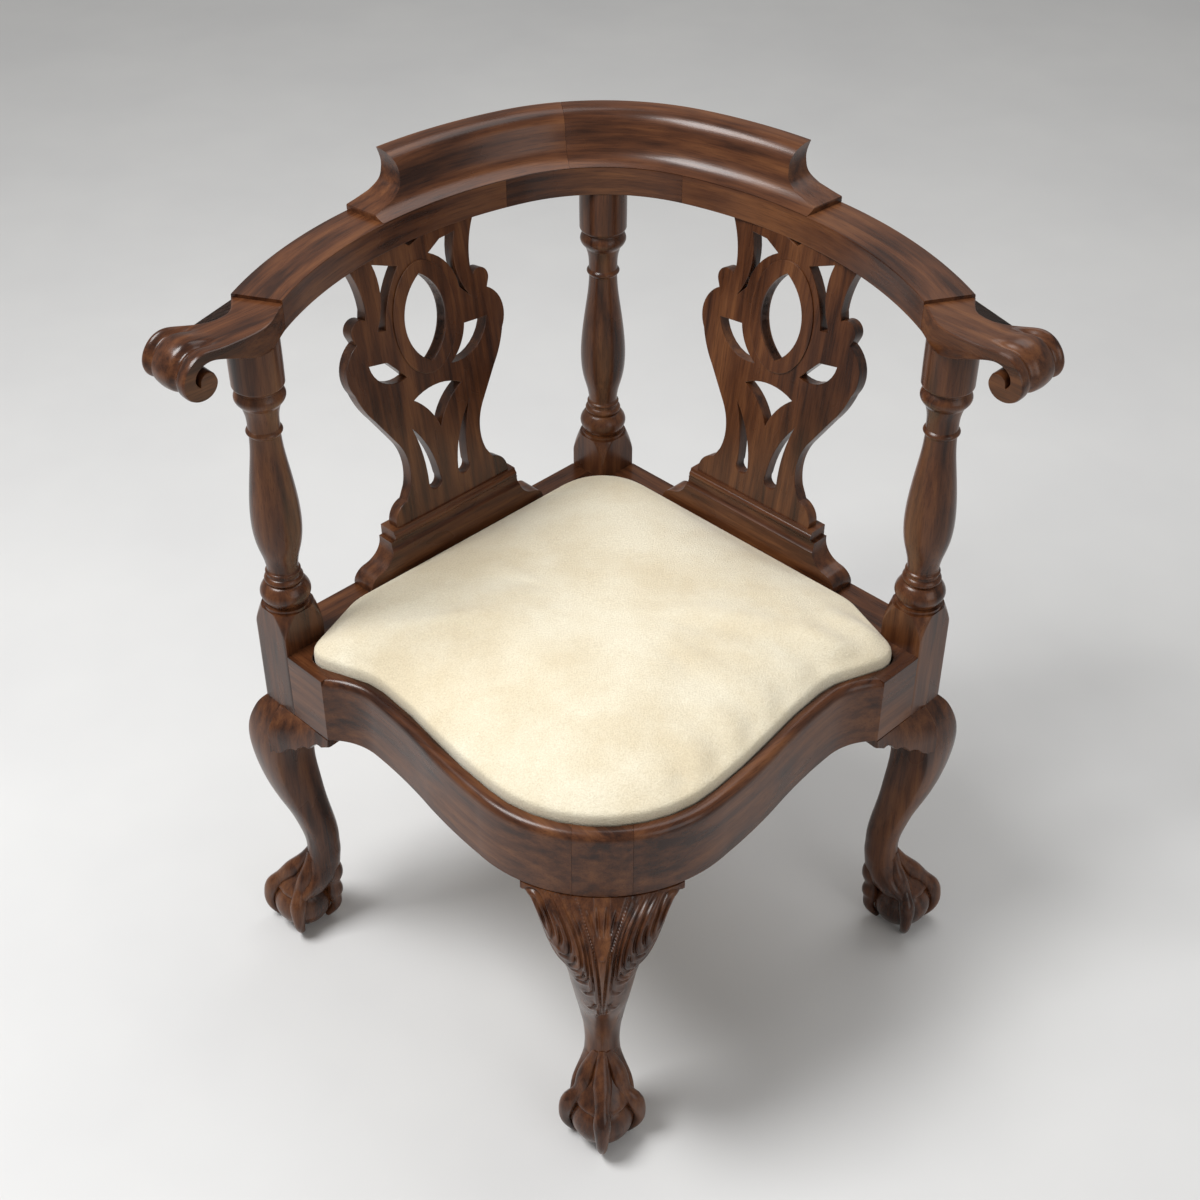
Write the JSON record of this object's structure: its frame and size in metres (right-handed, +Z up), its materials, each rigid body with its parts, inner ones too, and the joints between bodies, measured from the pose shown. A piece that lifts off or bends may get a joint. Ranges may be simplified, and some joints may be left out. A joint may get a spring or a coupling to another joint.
{
  "type": "corner chair",
  "caption": "Corner chair with a C-shaped arm rail, turned columns, pierced splats, serpentine front, cabriole legs on ball-and-claw feet and a lift-out upholstered seat.",
  "frame": {"origin": "middle of the chair's box in plan, on the floor", "axes": "+Z up; -Y towards the front corner and its leg; +X towards the right hand of someone who looks at the chair from the front"},
  "size_m": [0.781, 0.6968, 0.8125],
  "materials": {
    "mahogany": "dark red-brown mahogany, polished",
    "secondary_wood": "plain sawn and planed softwood or beech, unfinished",
    "webbing": "woven jute straps",
    "base_cloth": "open hessian",
    "padding": "wadding over stuffing",
    "seat_cover": "cream cloth with a short pile"
  },
  "bodies": {
    "chair_frame": {"front_leg": "mahogany", "left_leg": "mahogany", "right_leg": "mahogany", "back_leg": "mahogany", "front_leg_left_knee_block": "mahogany", "front_leg_right_knee_block": "mahogany", "left_leg_front_knee_block": "mahogany", "left_leg_back_knee_block": "mahogany", "right_leg_front_knee_block": "mahogany", "right_leg_back_knee_block": "mahogany", "back_leg_left_knee_block": "mahogany", "back_leg_right_knee_block": "mahogany", "front_left_rail": "mahogany", "front_right_rail": "mahogany", "back_left_rail": "mahogany", "back_right_rail": "mahogany", "left_shoe": "mahogany", "right_shoe": "mahogany", "left_splat": "mahogany", "right_splat": "mahogany", "left_arm": "mahogany", "right_arm": "mahogany", "back_arm_block": "mahogany", "left_crest": "mahogany", "right_crest": "mahogany", "front_corner_block": "secondary_wood", "left_corner_block": "secondary_wood", "right_corner_block": "secondary_wood", "back_corner_block": "secondary_wood"},
    "drop_in_seat": {"front_left_slip_rail": "secondary_wood", "front_right_slip_rail": "secondary_wood", "back_left_slip_rail": "secondary_wood", "back_right_slip_rail": "secondary_wood", "seat_webbing": "webbing", "seat_base_cloth": "base_cloth", "seat_padding": "padding", "seat_cover": "seat_cover"}
  },
  "joints": [
    {"name": "seat_lift", "type": "slide", "parent": "chair_frame", "child": "drop_in_seat", "axis": [0, 0, 1], "range_m": [0, 0.44]}
  ]
}
